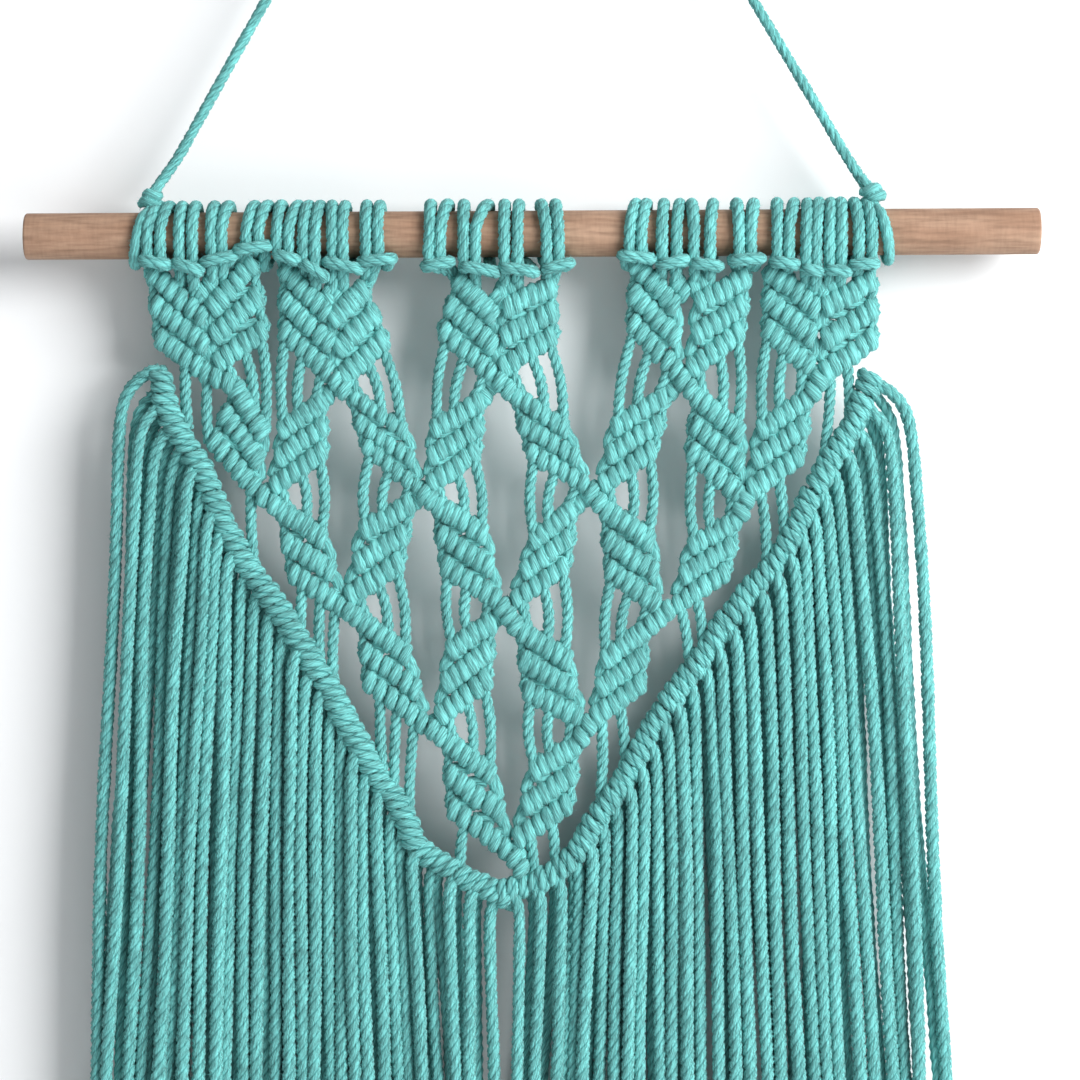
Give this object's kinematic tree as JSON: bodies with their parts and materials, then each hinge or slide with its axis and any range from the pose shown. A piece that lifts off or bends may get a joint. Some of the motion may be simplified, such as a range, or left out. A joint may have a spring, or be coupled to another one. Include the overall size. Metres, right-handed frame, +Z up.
{
  "type": "macrame wall hanging on a dowel",
  "caption": "Knotted cotton wall hanging in a V-shaped leaf lattice with a long fringe, tied to a round wooden dowel that hangs by a cord.",
  "frame": {"origin": "where the underside of the hanging cord's top rests on its hook", "axes": "+Z up, +X to the right as seen from the front, the front faces -Y"},
  "size_m": [0.35, 0.0249, 0.6356],
  "materials": {
    "cotton": "soft three-ply cotton cord, matt",
    "wood": "plain sanded wood, satin"
  },
  "bodies": {
    "root": {"dowel": "wood", "knotted_panel": "cotton", "fringe_left": "cotton", "fringe_right": "cotton", "hanger_knot_left": "cotton", "hanger_knot_right": "cotton", "hanging_cord": "cotton"}
  },
  "joints": []
}
